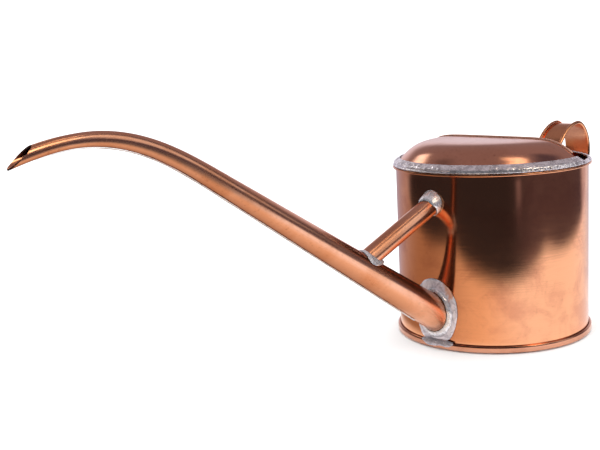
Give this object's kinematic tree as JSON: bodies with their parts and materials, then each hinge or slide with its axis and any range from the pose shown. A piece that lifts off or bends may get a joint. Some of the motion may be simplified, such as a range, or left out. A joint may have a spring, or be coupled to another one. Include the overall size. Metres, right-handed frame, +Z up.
{
  "type": "watering can",
  "caption": "Small round copper watering can with a long tapered spout that curves over at its tip, a braced spout, a part-covered top and a strap handle, joined with bright solder",
  "frame": {"origin": "centre of the flat underside of the bottom plate", "axes": "+Z is up along the axis of the round body, the spout points along -X and the handle is at +X; the XZ plane is the plane of symmetry"},
  "size_m": [0.4359, 0.1238, 0.1556],
  "materials": {
    "body_copper": "polished copper sheet, faintly mottled",
    "hood_copper": "polished copper sheet, pressed",
    "tube_copper": "copper tube polished lengthwise",
    "handle_copper": "polished copper strap with wired edges",
    "solder": "bright lumpy tin solder",
    "tinned_plate": "grainy tinned copper"
  },
  "bodies": {
    "root": {"base_plate": "body_copper", "base_seam_solder": "solder", "body_wall": "body_copper", "rim_solder": "solder", "hood": "hood_copper", "mouth_wire": "hood_copper", "spout_tube": "tube_copper", "spout_seam_solder": "solder", "spout_flange": "tinned_plate", "spout_flange_solder": "solder", "flange_foot_solder": "solder", "brace_tube": "tube_copper", "brace_wall_solder": "solder", "brace_spout_solder": "solder", "handle_strap": "handle_copper", "handle_wire_left": "handle_copper", "handle_wire_right": "handle_copper", "handle_top_solder": "solder", "handle_bottom_solder": "solder"}
  },
  "joints": []
}
